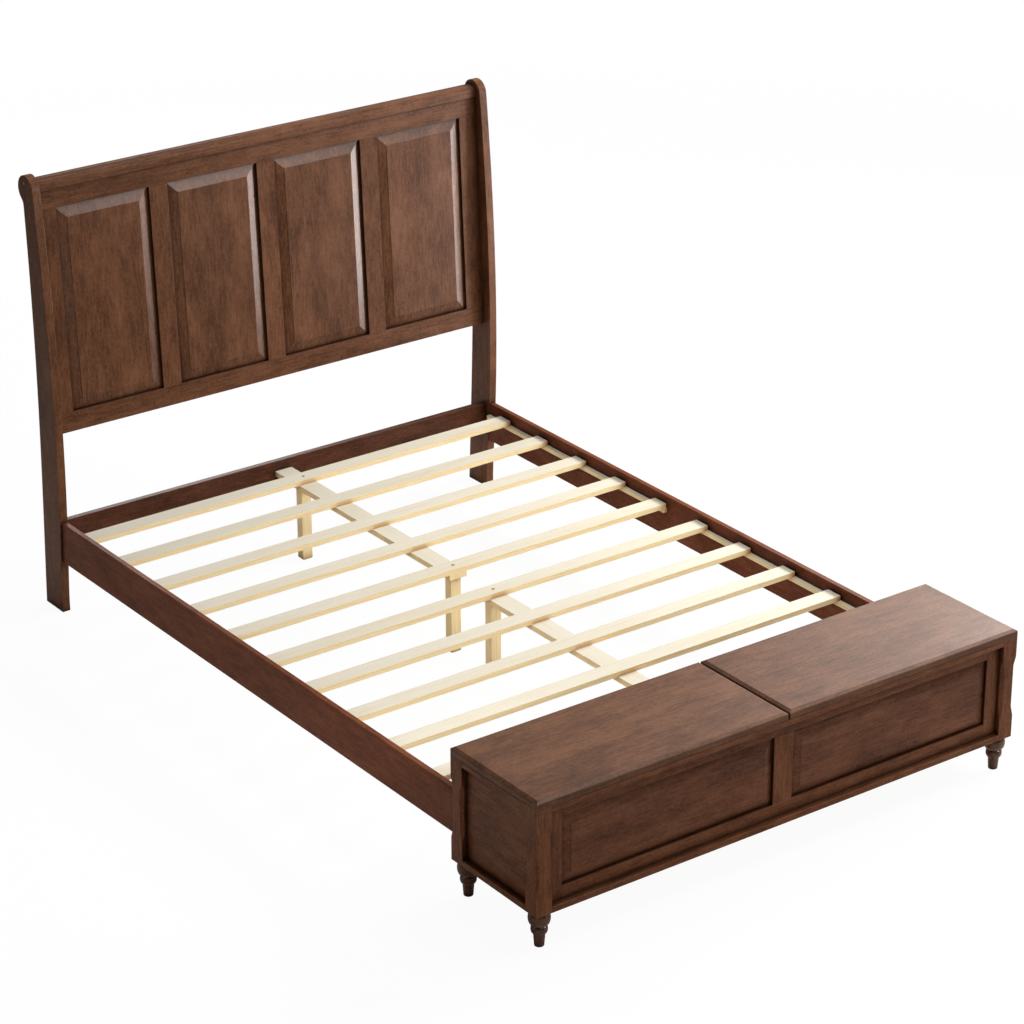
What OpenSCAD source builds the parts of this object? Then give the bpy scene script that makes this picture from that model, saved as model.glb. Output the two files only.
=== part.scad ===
// Bed whose footboard is a low blanket chest with two lids.
// X runs across the bed, Y runs from the chest to the headboard, Z is up.
// The origin is on the floor, under the middle of the whole bed.

/* [Mattress space] */
// Clear width between the side rails
mattress_width = 1552; // [1000:1:1900]
// Clear length from the back of the chest to the cross rail
mattress_length = 2043; // [1900:1:2150]

/* [Side rails] */
// Thickness of a side rail
rail_thickness = 16.3; // [14:0.1:22]
// Height of a side rail
rail_height = 131; // [110:1:160]
// Floor to the underside of a side rail
rail_clearance = 168; // [140:1:180]
// Width of the ledger that carries the slats
ledger_width = 14.5; // [12:0.5:25]
// Height of the ledger
ledger_height = 13.5; // [10:0.5:30]
// Height of a hook plate in a rail end
plate_height = 100; // [90:1:104]
// Width of a hook plate
plate_width = 12; // [10:0.5:13]
// Thickness of a hook plate and of its keeper
plate_thickness = 3; // [2:0.5:4]
// Thickness of a hook
hook_thickness = 3; // [2:0.5:4]

/* [Slats] */
// Floor to the top of the slats
slat_top = 277; // [262:1:290]
// Number of slats
slat_count = 10; // [8:2:12]
// Width of a slat
slat_width = 54; // [40:1:80]
// Thickness of a slat
slat_thickness = 16; // [12:1:20]
// Gap between a slat end and the side rail
slat_end_gap = 4.4; // [1:0.1:8]
// Cross rail to the middle of the first slat
slat_head_gap = 113; // [60:1:130]
// Chest to the middle of the last slat
slat_foot_gap = 134.5; // [60:0.5:150]
// Width of the centre rail under the slats
centre_rail_width = 60; // [45:1:90]
// Height of the centre rail
centre_rail_height = 17; // [14:1:40]
// Support leg size across the bed
leg_width = 34; // [25:1:44]
// Support leg size along the bed
leg_depth = 30; // [25:1:40]
// Radius of the screw through slat, centre rail and leg
leg_screw_radius = 2.5; // [2:0.1:4]
// Depth of the screw in the leg
leg_screw_depth = 30; // [20:1:60]

/* [Chest] */
// Depth of the chest, front to back
chest_depth = 366; // [300:1:500]
// How far the chest stands out past each side rail
chest_reveal = 15.7; // [10:0.1:24]
// Height of the turned feet
foot_height = 101.5; // [90:0.5:120]
// Height of the chest posts
carcass_height = 304; // [260:1:360]
// Size of the square chest posts
post_size = 48; // [45:1:60]
// Leg of the stopped chamfer on the posts
chamfer = 8; // [4:0.5:10]
// Post foot to the start of the chamfer
chamfer_start = 65; // [50:1:80]
// Post top to the end of the chamfer
chamfer_end = 58; // [50:1:80]
// Length of the run-out at each end of a chamfer
chamfer_run = 26; // [12:1:35]
// How deep the frames and panels lie behind the post faces
recess = 17; // [11:0.5:20]
// Height of the rails under the lids
cover_rail_height = 16.5; // [14:0.5:25]
// Height of the base rails
base_rail_height = 17.5; // [14:0.5:25]
// Rounding of the rails' top edges
rail_easing = 3; // [1:0.5:4]
// Thickness of the end and back panels
flat_panel = 12; // [9:0.5:14]
// Thickness of the bottom board
bottom_board = 12; // [9:0.5:18]
// Thickness of the divider
divider = 18; // [12:0.5:24]

/* [Chest front] */
// Thickness of the front frame
front_frame = 20; // [18:0.5:24]
// Width of the front stiles
front_stile = 42.9; // [35:0.1:70]
// Width of the front mullion
front_mullion = 64; // [50:1:90]
// Height of the frame's top rail
front_top = 33.4; // [25:0.1:50]
// Height of the frame's bottom rail
front_bottom = 38.6; // [25:0.1:50]
// Width of the bevel round a front panel
front_bevel = 28.5; // [20:0.5:40]

/* [Raised panels] */
// Depth of the step round a raised field
field_step = 1.2; // [0.6:0.1:2]
// Frame face to the low edge of a bevel
bevel_depth = 9.5; // [7:0.5:10]
// Thickness of a panel's tongue
tongue = 6.5; // [5:0.5:7]
// Length of a panel's tongue
tongue_length = 7.5; // [5:0.5:9]
// Play between a tongue and its groove
groove_play = 0.3; // [0.1:0.1:0.5]

/* [Lids] */
// Thickness of a lid
lid_thickness = 22.5; // [18:0.5:28]
// Gap between the chest and the lids
lid_gap = 0.3; // [0.2:0.1:0.5]
// Gap between the two lids
seam = 6; // [2:0.5:10]
// Width of the bevel round a lid
lid_bevel = 9.5; // [5:0.5:14]
// Drop of the bevel round a lid
lid_bevel_drop = 5.5; // [3:0.5:8]
// Size of the quirk below the bevel
quirk = 1.2; // [0.6:0.1:1.6]
// Length of a hinge
hinge_length = 76; // [60:1:100]
// Lid end to the middle of the nearest hinge
hinge_inset = 150; // [110:1:220]
// Width of a hinge leaf
leaf_width = 22; // [16:1:26]
// Thickness of a hinge leaf
leaf_thickness = 1.8; // [1.5:0.1:2.2]
// Radius of a hinge pin
pin_radius = 1.5; // [1.2:0.1:1.8]
// Radius of a hinge knuckle
knuckle_radius = 3.4; // [3:0.1:4]

/* [Turned feet] */
// Outer faces to the axis of a foot
foot_inset = 31; // [30:0.5:34]
// Radius of the ball
ball_radius = 29.3; // [26:0.1:29.5]
// Height of the ball's lower end
ball_bottom = 61.5; // [58:0.5:66]
// Radius of the ring below the ball
ring_radius = 22.2; // [20:0.1:24]
// Height of the ring's lower end
ring_bottom = 38.5; // [34:0.5:44]
// Radius at the top of the taper
taper_radius = 15.9; // [14:0.1:17]
// Radius at the floor
toe_radius = 13.2; // [11:0.1:14]
// Radius of the spigot in the post
spigot_radius = 9; // [7:0.5:11]
// Length of the spigot
spigot_length = 30; // [20:1:40]

/* [Headboard] */
// Thickness of the curved posts
head_post = 26; // [22:0.5:34]
// How far the curved posts stand out past the side rails
post_reveal = 7; // [3:0.5:8]
// Backward lean of the panelled board, in degrees
lean = 3.15; // [2:0.05:4]
// Thickness of the headboard frame
board_frame = 22; // [19:0.5:28]
// Floor to the underside of the headboard frame
board_bottom = 566; // [480:1:620]
// Height of the bottom rail
board_bottom_rail = 61; // [45:1:90]
// Height of the panel openings
board_opening = 625; // [550:1:680]
// Height of the top rail
board_top_rail = 58; // [45:1:90]
// Width of the end stiles
board_stile = 60.5; // [45:0.5:90]
// Width of the mullions
board_mullion = 61.5; // [45:0.5:90]
// Width of the bevel round a headboard panel
board_bevel = 35; // [25:0.5:45]
// Front of the board behind the cross rail's face, at floor level
board_offset = -21; // [-30:1:-12]
// Height of the cap
cap_height = 36; // [30:1:40]
// How far the cap stands out in front of the frame
cap_nose = 8.5; // [4:0.5:14]
// How far the cap reaches behind the frame's face
cap_back = 47; // [36:1:52]
// Radius of a post's round head
head_radius = 42; // [38:0.5:48]
// Depth of the post's neck behind its middle
neck = 19; // [14:0.5:24]
// Radius of the cove below the round head
cove = 28; // [18:1:36]
// Radius of the plug in a post
plug_radius = 4; // [3:0.5:6]
// Depth of the plug
plug_depth = 8; // [5:0.5:12]

/* [Cross rail] */
// Thickness of the cross rail
cross_rail_thickness = 20; // [16:0.5:28]
// Height of the cross rail
cross_rail_height = 90; // [70:1:110]
// Top of the side rails to the top of the cross rail
cross_rail_drop = 6; // [0:1:14]

/* [Hidden] */
$fn = 48;

LEFT = -1;
RIGHT = 1;
FRONT = 0;
BACK = 1;

walnut = "#6b4430";
dark_walnut = "#56351f";
pine = "#e2cfa4";
steel = "#8d8f92";
brass = "#b39352";

// Small fits that recur
round_play = 0.05;
seat_gap = 0.3;
tenon_shoulder = 1;
field_depth = 0.4;

// Widths
rail_inner = mattress_width / 2;
rail_outer = rail_inner + rail_thickness;
chest_half = rail_outer + chest_reveal;
head_outer = rail_outer + post_reveal;
head_inner = head_outer - head_post;
post_inner = chest_half - post_size;

// Headboard, measured along its lean
opening_low = board_bottom + board_bottom_rail;
opening_high = opening_low + board_opening;
board_high = opening_high + board_top_rail;
opening_half = head_inner - board_stile;
board_panels = 4;
board_pitch = (2 * opening_half + board_mullion) / board_panels;
board_panel = board_pitch - board_mullion;

// Lengths, counted from the front of the chest
housing_gap = 12;
ledger_gap = 24;
cross_rail_y = chest_depth + mattress_length;
rail_housing_y = cross_rail_y - housing_gap;
ledger_head_y = cross_rail_y - ledger_gap;

// Round heads of the curved posts, which follow the top of the leaning board
head_set_back = 12.5;
head_rise = 10;
head_centre_y = cross_rail_y + board_offset + board_high * sin(lean) + head_set_back;
head_centre_z = board_high * cos(lean) + head_rise;
overall_length = head_centre_y + head_radius;

// Edges of the curved posts: where they stand on the floor, how far they lean there,
// and how far the bends reach, as shares of the height of the round head
post_toe = 7;
toe_lean = 8.5;
toe_reach = 0.097;
post_heel = 92;
heel_lean = 15.5;
heel_reach = 0.2747;
front_slope = 6.6;
front_reach = 0.641;
back_reach = 0.4135;

// Middle of the round head to the middle of the plug
plug_back = 6;
plug_up = 17;

// Heights of the chest
carcass_top = foot_height + carcass_height;
cover_rail_z = carcass_top - cover_rail_height;
frame_z = foot_height + base_rail_height;
floor_top = frame_z + bottom_board;
lid_z = carcass_top + lid_gap;

// Depths of the chest
front_back_y = recess + front_frame;
cover_rail_depth = front_back_y;
back_inner_y = chest_depth - cover_rail_depth;
panel_inner = chest_half - recess - flat_panel;

// Hinges: the knuckle clears the wood behind the chest
knuckle_clear = 0.2;
pin_y = chest_depth + knuckle_radius + knuckle_clear;
pin_z = carcass_top + lid_gap / 2;
knuckles = 5;
knuckle_pitch = hinge_length / knuckles;
leaf_screws = 3;
leaf_screw_pitch = hinge_length / leaf_screws;
leaf_screw_radius = 2.1;

// Hooks that hold a side rail to its keeper plates
hook_rise = 14;
hook_reach = 12;
hook_nib = 5;
hook_ease = 3;
nib_taper = 2;
hook_offset = plate_height / 4;

// Slats
slat_first_y = cross_rail_y - slat_head_gap;
slat_pitch = (mattress_length - slat_head_gap - slat_foot_gap) / (slat_count - 1);
slat_bottom = slat_top - slat_thickness;
slat_half = slat_count / 2;
leg_height = slat_bottom - centre_rail_height;
head_run_y = slat_y(slat_half) - slat_width / 2;
foot_run_y = slat_y(slat_half + 1) + slat_width / 2;
SUPPORTED = [1, slat_half, slat_half + 1, slat_count];

// Chest front
front_opening_low = frame_z + front_bottom;
front_opening_high = cover_rail_z - front_top;
front_opening_out = post_inner - front_stile;
front_opening_in = front_mullion / 2;

function slat_y(number) = slat_first_y - (number - 1) * slat_pitch;

// Points of an arc, from one angle to another
function arc(x, y, radius, from, to, steps) = [
    for (i = [0:steps])
        let (a = from + (to - from) * i / steps)
        [x + radius * cos(a), y + radius * sin(a)]
];

// Points of a cubic curve between two ends with their handles
function curve(a, b, c, d, steps) = [
    for (i = [0:steps])
        let (t = i / steps, u = 1 - t)
        u * u * u * a + 3 * u * u * t * b + 3 * u * t * t * c + t * t * t * d
];

// Points of a bulge on a turning, as radius and height, going up
function bulge(core, swell, middle, half_height, from, to, steps) = [
    for (i = [0:steps])
        let (z = from + (to - from) * i / steps, k = (z - middle) / half_height)
        [core + swell * sqrt(max(0, 1 - k * k)), z]
];

// ---------------------------------------------------------------- helpers

// The whole bed is drawn from the front of the chest and set on its middle
module placed() {
    translate([0, -overall_length / 2, 0]) children();
}

// A drawing of Y and Z, pulled along X between two places
module along_x(from, to) {
    translate([from, 0, 0])
        rotate([90, 0, 90])
            linear_extrude(to - from) children();
}

// A drawing of X and Z, pulled along Y between two places
module along_y(from, to) {
    translate([0, to, 0])
        rotate([90, 0, 0])
            linear_extrude(to - from) children();
}

// A block between two corners
module block(low, high) {
    translate(low) cube(high - low);
}

// One of the four corners of the chest, with X and Y pointing inwards
module chest_corner(side, end) {
    translate([side * chest_half, end * chest_depth, 0])
        mirror([side == RIGHT ? 1 : 0, 0, 0])
            mirror([0, end == BACK ? 1 : 0, 0])
                children();
}

// One side of the bed, drawn on the right
module bed_side(side) {
    mirror([side == LEFT ? 1 : 0, 0, 0]) children();
}

// The leaning plane of the headboard: Y is depth behind its face, Z runs up it
module leaning() {
    translate([0, cross_rail_y + board_offset, 0])
        rotate([-lean, 0, 0])
            children();
}

// ---------------------------------------------------------------- raised panels

// Section of a raised panel across an opening, with its tongues
module panel_section(from, to, bevel) {
    low = bevel_depth + groove_play / 2;
    step = field_depth + field_step;
    back = low + tongue;
    polygon([
        [from - tongue_length, back],
        [from - tongue_length, low],
        [from, low],
        [from + bevel, step],
        [from + bevel, field_depth],
        [to - bevel, field_depth],
        [to - bevel, step],
        [to, low],
        [to + tongue_length, low],
        [to + tongue_length, back]
    ]);
}

// Raised panel in the opening from [x, z] to [x, z]; its bevels meet in mitres
module raised_panel(low, high, bevel) {
    intersection() {
        translate([0, 0, low[1] - tongue_length])
            linear_extrude(high[1] - low[1] + 2 * tongue_length)
                panel_section(low[0], high[0], bevel);
        translate([low[0] - tongue_length, 0, 0])
            rotate([0, 90, 0])
                rotate([0, 0, 90])
                    linear_extrude(high[0] - low[0] + 2 * tongue_length)
                        mirror([1, -1, 0])
                            panel_section(low[1], high[1], bevel);
    }
}

// Groove for the tongues along X, cut into an edge at height z, both ways
module groove_along_x(from, to, z) {
    depth = tongue_length + groove_play;
    block([from, bevel_depth, z - depth], [to, bevel_depth + tongue + groove_play, z + depth]);
}

// Groove for the tongues along Z, cut into an edge at place x, both ways
module groove_along_z(x, from, to) {
    depth = tongue_length + groove_play;
    block([x - depth, bevel_depth, from], [x + depth, bevel_depth + tongue + groove_play, to]);
}

// Stub tenon that fills the groove where two frame members meet
module stub_tenon(low, high) {
    block([low[0], bevel_depth + groove_play / 2, low[1]],
          [high[0], bevel_depth + groove_play / 2 + tongue, high[1]]);
}

// ---------------------------------------------------------------- headboard posts

// Side view of a curved post, as Y and Z, without its round head
module head_post_outline() {
    centre = [head_centre_y, head_centre_z];
    toe = [cross_rail_y - post_toe, 0];
    heel = [cross_rail_y + post_heel, 0];
    front_top = centre + head_radius * [-cos(front_slope), sin(front_slope)];
    front_edge = curve(
        toe,
        toe + [toe_lean, toe_reach * head_centre_z],
        front_top - front_reach * head_centre_z * [sin(front_slope), cos(front_slope)],
        front_top, 20);

    // The cove touches the round head and the leaning back edge
    across = [cos(lean), -sin(lean)];
    up = [sin(lean), cos(lean)];
    drop = sqrt(pow(head_radius + cove, 2) - pow(neck + cove, 2));
    cove_centre = centre + (neck + cove) * across - drop * up;
    back_top = cove_centre - cove * across;
    touch_angle = atan2(drop, -(neck + cove));
    cove_edge = [
        for (p = arc(0, 0, cove, touch_angle, 180, 8))
            cove_centre + p[0] * across + p[1] * up
    ];
    back_edge = curve(
        back_top,
        back_top - back_reach * head_centre_z * up,
        heel + [-heel_lean, heel_reach * head_centre_z],
        heel, 18);
    polygon(concat(front_edge, [centre], cove_edge, back_edge));
}

module head_post_blank() {
    along_x(head_inner, head_outer) head_post_outline();
    translate([head_inner, head_centre_y, head_centre_z])
        rotate([0, 90, 0])
            cylinder(h = head_post, r = head_radius);
}

// Where a plug sits in the round head
module at_plug() {
    translate([head_outer - plug_depth, head_centre_y + plug_back, head_centre_z + plug_up])
        rotate([0, 90, 0]) children();
}

module headboard_post(side) {
    color(walnut) bed_side(side) difference() {
        head_post_blank();
        rail_housing();
        at_rail_head() keeper_pocket();
        at_plug() cylinder(h = plug_depth + 1, r = plug_radius + round_play);
    }
}

module post_plugs() {
    color(pine)
        for (side = [LEFT, RIGHT])
            bed_side(side) at_plug() cylinder(h = plug_depth, r = plug_radius);
}

// ---------------------------------------------------------------- headboard frame

module headboard_top_rail() {
    color(walnut) leaning() difference() {
        block([-head_inner, 0, opening_high], [head_inner, board_frame, board_high]);
        groove_along_x(-head_inner, head_inner, opening_high);
    }
}

module headboard_bottom_rail() {
    color(walnut) leaning() difference() {
        block([-head_inner, 0, board_bottom], [head_inner, board_frame, opening_low]);
        groove_along_x(-head_inner, head_inner, opening_low);
    }
}

// A stile or mullion between the rails, with grooves on its open edges
module board_upright(from, to, grooves) {
    set_in = tongue_length + tenon_shoulder;
    leaning() {
        difference() {
            block([from, 0, opening_low], [to, board_frame, opening_high]);
            for (x = grooves) groove_along_z(x, opening_low, opening_high);
        }
        for (z = [opening_low - tongue_length, opening_high])
            stub_tenon([from + set_in, z], [to - set_in, z + tongue_length]);
    }
}

module headboard_stile(side) {
    color(walnut) bed_side(side)
        board_upright(opening_half, head_inner, [opening_half]);
}

// Left edge of a headboard panel opening, counted from the left
function board_panel_x(number) = -opening_half + (number - 1) * board_pitch;

module headboard_mullion(number) {
    from = board_panel_x(number) + board_panel;
    to = from + board_mullion;
    color(walnut) board_upright(from, to, [from, to]);
}

module headboard_panel(number) {
    from = board_panel_x(number);
    color(walnut) leaning()
        raised_panel([from, opening_low], [from + board_panel, opening_high], board_bevel);
}

// Rounded moulding that closes the top of the board
module headboard_cap() {
    low_round = 4;
    nose_radius = 9;
    crown = 4;
    shoulder = 1;
    top = board_high + cap_height;
    section = concat(
        arc(low_round - cap_nose, board_high + low_round, low_round, 270, 180, 4),
        arc(nose_radius - cap_nose, top - crown - nose_radius, nose_radius, 180, 110, 6),
        curve([nose_radius, top - shoulder], [cap_nose + nose_radius, top],
              [0.6 * cap_back, top], [cap_back - crown, top - crown], 6),
        [[cap_back, top - 2 * crown], [cap_back, board_high]]
    );
    color(walnut) leaning() along_x(-head_inner, head_inner) polygon(section);
}

module head_cross_rail() {
    top = rail_clearance + rail_height - cross_rail_drop;
    color(dark_walnut)
        block([-head_inner, cross_rail_y, top - cross_rail_height],
              [head_inner, cross_rail_y + cross_rail_thickness, top]);
}

// ---------------------------------------------------------------- side rails

// Notch in a curved post that takes the end of a side rail
module rail_housing() {
    block([rail_inner, rail_housing_y - post_size, rail_clearance],
          [rail_outer, rail_housing_y, rail_clearance + rail_height]);
}

// The joint at the head end of a rail: Y points from the rail into the post
module at_rail_head() {
    translate([rail_inner + rail_thickness / 2, rail_housing_y, rail_clearance + rail_height / 2])
        children();
}

// The same joint at the chest end of a rail
module at_rail_foot() {
    translate([rail_inner + rail_thickness / 2, chest_depth, rail_clearance + rail_height / 2])
        mirror([0, 1, 0]) children();
}

// Side view of a hook, as Y and Z, from the face of its plate
module hook_outline() {
    nib_start = plate_thickness + seat_gap;
    polygon([
        [0, 0],
        [nib_start, 0],
        [nib_start, -hook_nib],
        [hook_reach - nib_taper, -hook_nib],
        [hook_reach, 0],
        [hook_reach, hook_rise - hook_ease],
        [hook_reach - hook_ease, hook_rise],
        [0, hook_rise]
    ]);
}

module hook_plate() {
    block([-plate_width / 2, -plate_thickness, -plate_height / 2],
          [plate_width / 2, 0, plate_height / 2]);
    for (z = [-hook_offset, hook_offset])
        translate([0, 0, z])
            along_x(-hook_thickness / 2, hook_thickness / 2) hook_outline();
}

module keeper_plate() {
    slot = hook_thickness / 2 + seat_gap;
    difference() {
        block([-plate_width / 2, 0, -plate_height / 2],
              [plate_width / 2, plate_thickness, plate_height / 2]);
        for (z = [-hook_offset, hook_offset])
            block([-slot, -1, z - seat_gap],
                  [slot, plate_thickness + 1, z + hook_rise + hook_nib + seat_gap]);
    }
}

// Room in a post for a keeper plate and for the hooks behind it
module keeper_pocket() {
    block([-plate_width / 2, -1, -plate_height / 2],
          [plate_width / 2, plate_thickness, plate_height / 2]);
    for (z = [-hook_offset, hook_offset])
        block([-hook_thickness, plate_thickness - 1, z - hook_nib - 1],
              [hook_thickness, hook_reach + 1, z + hook_rise + hook_nib + 1]);
}

// Room in a rail end for a hook plate
module hook_plate_pocket() {
    block([-plate_width / 2, -plate_thickness, -plate_height / 2],
          [plate_width / 2, 1, plate_height / 2]);
}

module rail_hook_plates() {
    color(steel)
        for (side = [LEFT, RIGHT])
            bed_side(side) {
                at_rail_head() hook_plate();
                at_rail_foot() hook_plate();
            }
}

module rail_keeper_plates() {
    color(steel)
        for (side = [LEFT, RIGHT])
            bed_side(side) {
                at_rail_head() keeper_plate();
                at_rail_foot() keeper_plate();
            }
}

module side_rail(side) {
    color(dark_walnut) bed_side(side) difference() {
        block([rail_inner, chest_depth, rail_clearance],
              [rail_outer, rail_housing_y, rail_clearance + rail_height]);
        at_rail_head() hook_plate_pocket();
        at_rail_foot() hook_plate_pocket();
    }
}

// Two lengths of ledger on the inside of a rail, one under each set of slats
module slat_ledgers(side) {
    low = slat_bottom - ledger_height;
    color(pine) bed_side(side) {
        block([rail_inner - ledger_width, head_run_y, low], [rail_inner, ledger_head_y, slat_bottom]);
        block([rail_inner - ledger_width, chest_depth + seat_gap, low],
              [rail_inner, foot_run_y, slat_bottom]);
    }
}

// ---------------------------------------------------------------- slats and centre rail

module at_slat(number, z) {
    translate([0, slat_y(number), z]) children();
}

module leg_screw_hole() {
    cylinder(h = slat_top, r = leg_screw_radius + round_play);
}

module slats(first, last) {
    reach = rail_inner - slat_end_gap;
    color(pine)
        for (number = [first:last])
            at_slat(number, 0) difference() {
                block([-reach, -slat_width / 2, slat_bottom], [reach, slat_width / 2, slat_top]);
                if (len(search(number, SUPPORTED)) > 0) {
                    leg_screw_hole();
                    translate([0, 0, slat_top - leg_screw_radius])
                        cylinder(h = 2 * leg_screw_radius, r = 2 * leg_screw_radius + round_play);
                }
            }
}

module centre_rail(from, to, supported) {
    color(pine) difference() {
        block([-centre_rail_width / 2, from, leg_height], [centre_rail_width / 2, to, slat_bottom]);
        for (number = supported) at_slat(number, 0) leg_screw_hole();
    }
}

// Square leg with its foot's edges planed off
module support_leg() {
    ease = 3;
    difference() {
        intersection() {
            along_y(-leg_depth / 2, leg_depth / 2) eased_foot(leg_width, ease);
            along_x(-leg_width / 2, leg_width / 2) eased_foot(leg_depth, ease);
        }
        translate([0, 0, leg_height - leg_screw_depth]) leg_screw_hole();
    }
}

module eased_foot(width, ease) {
    polygon([
        [-width / 2 + ease, 0], [width / 2 - ease, 0], [width / 2, ease],
        [width / 2, leg_height], [-width / 2, leg_height], [-width / 2, ease]
    ]);
}

module support_legs() {
    color(pine)
        for (number = SUPPORTED) at_slat(number, 0) support_leg();
}

module support_leg_screws() {
    head = leg_screw_radius;
    color(steel)
        for (number = SUPPORTED)
            at_slat(number, 0) {
                translate([0, 0, leg_height - leg_screw_depth])
                    cylinder(h = slat_top - leg_height + leg_screw_depth - head, r = leg_screw_radius);
                translate([0, 0, slat_top - head])
                    cylinder(h = head - seat_gap, r = 2 * leg_screw_radius);
            }
}

// ---------------------------------------------------------------- chest posts and feet

// Cutter for a chamfer that dies out at both ends, for material in +X and +Y
module stopped_chamfer() {
    depth = chamfer / sqrt(2);
    low = foot_height + chamfer_start;
    high = carcass_top - chamfer_end;
    rotate([90, 0, 45])
        linear_extrude(4 * chamfer, center = true)
            polygon([
                [-1, low], [0, low], [depth, low + chamfer_run],
                [depth, high - chamfer_run], [0, high], [-1, high]
            ]);
}

module chest_post(side, end) {
    color(walnut) chest_corner(side, end) difference() {
        block([0, 0, foot_height], [post_size, post_size, carcass_top]);
        stopped_chamfer();
        translate([post_size, 0, 0]) mirror([1, 0, 0]) stopped_chamfer();
        translate([0, post_size, 0]) mirror([0, 1, 0]) stopped_chamfer();
        end_panel_groove();
        if (end == BACK) {
            mirror([1, -1, 0]) end_panel_groove();
            post_keeper_pocket();
        }
        translate([foot_inset, foot_inset, foot_height - 1])
            cylinder(h = spigot_length + 2, r = spigot_radius + round_play);
    }
}

// Groove down the face of a post for the edge of a flat panel
module end_panel_groove() {
    block([recess, post_size - tongue_length - groove_play, frame_z - tongue_length - groove_play],
          [recess + flat_panel, post_size + 1, cover_rail_z + tongue_length + groove_play]);
}

// The keeper pocket of the side rail joint, seen from a back corner
module post_keeper_pocket() {
    translate([chest_reveal + rail_thickness / 2, 0, rail_clearance + rail_height / 2])
        keeper_pocket();
}

// Half section of a turned foot, as radius and height
module foot_section() {
    toe_round = 3;
    ball_swell = 12;
    ring_swell = 5.5;
    pole_cut = 0.6;
    ball_middle = ball_bottom + 0.53 * (foot_height - ball_bottom);
    ball_half = ball_middle - ball_bottom + pole_cut;
    ring_middle = (ring_bottom + ball_bottom) / 2;
    ring_half = ring_middle - ring_bottom + pole_cut;
    polygon(concat(
        [[0, 0]],
        arc(toe_radius - toe_round, toe_round, toe_round, 270, 360, 4),
        [[taper_radius, ring_bottom]],
        bulge(ring_radius - ring_swell, ring_swell, ring_middle, ring_half,
              ring_bottom, ball_bottom, 10),
        bulge(ball_radius - ball_swell, ball_swell, ball_middle, ball_half,
              ball_bottom, foot_height, 14),
        [[spigot_radius, foot_height],
         [spigot_radius, foot_height + spigot_length],
         [0, foot_height + spigot_length]]
    ));
}

module turned_feet() {
    color(walnut)
        for (side = [LEFT, RIGHT], end = [FRONT, BACK])
            chest_corner(side, end)
                translate([foot_inset, foot_inset, 0])
                    rotate_extrude() foot_section();
}

// ---------------------------------------------------------------- chest rails

// Section of a flush rail, as depth and height, with its outer top edge rounded
module rail_section(depth, z, height) {
    polygon(concat(
        [[depth, z], [0, z]],
        arc(rail_easing, z + height - rail_easing, rail_easing, 180, 90, 5),
        [[depth, z + height]]
    ));
}

// Grooves for flat panels above the base rails and below the cover rails
module flat_groove(from, to) {
    depth = tongue_length + groove_play;
    block([from, recess, frame_z - depth], [to, recess + flat_panel, frame_z + depth]);
    block([from, recess, cover_rail_z - depth], [to, recess + flat_panel, cover_rail_z + depth]);
}

module front_cover_rail() {
    color(walnut) along_x(-post_inner, post_inner)
        rail_section(cover_rail_depth, cover_rail_z, cover_rail_height);
}

module front_base_rail() {
    color(walnut) along_x(-post_inner, post_inner)
        rail_section(post_size, foot_height, base_rail_height);
}

// The back of the chest, with Y pointing inwards from its back face
module chest_back() {
    translate([0, chest_depth, 0]) mirror([0, 1, 0]) children();
}

module back_cover_rail() {
    color(walnut) difference() {
        chest_back() difference() {
            along_x(-post_inner, post_inner)
                rail_section(cover_rail_depth, cover_rail_z, cover_rail_height);
            flat_groove(-post_inner - 1, post_inner + 1);
        }
        at_hinges() leaf_pocket();
    }
}

module back_base_rail() {
    color(walnut) chest_back() difference() {
        along_x(-post_inner, post_inner) rail_section(post_size, foot_height, base_rail_height);
        flat_groove(-post_inner - 1, post_inner + 1);
    }
}

module back_mullion() {
    half = front_mullion / 2;
    depth = tongue_length + groove_play;
    color(walnut) chest_back() difference() {
        block([-half, recess, frame_z], [half, cover_rail_depth, cover_rail_z]);
        for (x = [-half, half])
            block([x - depth, recess - 1, frame_z - 1], [x + depth, recess + flat_panel, cover_rail_z + 1]);
    }
}

// Two flat panels, one each side of the back mullion
module back_panels() {
    color(dark_walnut)
        for (side = [LEFT, RIGHT])
            bed_side(side) chest_back()
                block([front_mullion / 2 - tongue_length, recess, frame_z - tongue_length],
                      [post_inner + tongue_length, recess + flat_panel, cover_rail_z + tongue_length]);
}

// An end of the chest, with Y pointing inwards from its outer face and X along it
module chest_end(side) {
    translate([side * chest_half, 0, 0])
        mirror([side == RIGHT ? 1 : 0, 0, 0])
            mirror([1, -1, 0])
                children();
}

module end_cover_rail(side) {
    color(walnut) chest_end(side) difference() {
        along_x(post_size, chest_depth - post_size)
            rail_section(cover_rail_depth, cover_rail_z, cover_rail_height);
        flat_groove(post_size - 1, chest_depth - post_size + 1);
    }
}

module end_base_rail(side) {
    color(walnut) chest_end(side) difference() {
        along_x(post_size, chest_depth - post_size)
            rail_section(post_size, foot_height, base_rail_height);
        flat_groove(post_size - 1, chest_depth - post_size + 1);
    }
}

module end_panel(side) {
    color(walnut) chest_end(side)
        block([post_size - tongue_length, recess, frame_z - tongue_length],
              [chest_depth - post_size + tongue_length, recess + flat_panel,
               cover_rail_z + tongue_length]);
}

// ---------------------------------------------------------------- chest front

// The front frame's face, set back behind the post faces
module chest_front() {
    translate([0, recess, 0]) children();
}

module front_frame_top_rail() {
    color(walnut) chest_front()
        front_frame_rail(front_opening_high, cover_rail_z, front_opening_high);
}

module front_frame_bottom_rail() {
    color(walnut) chest_front()
        front_frame_rail(frame_z, front_opening_low, front_opening_low);
}

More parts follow.
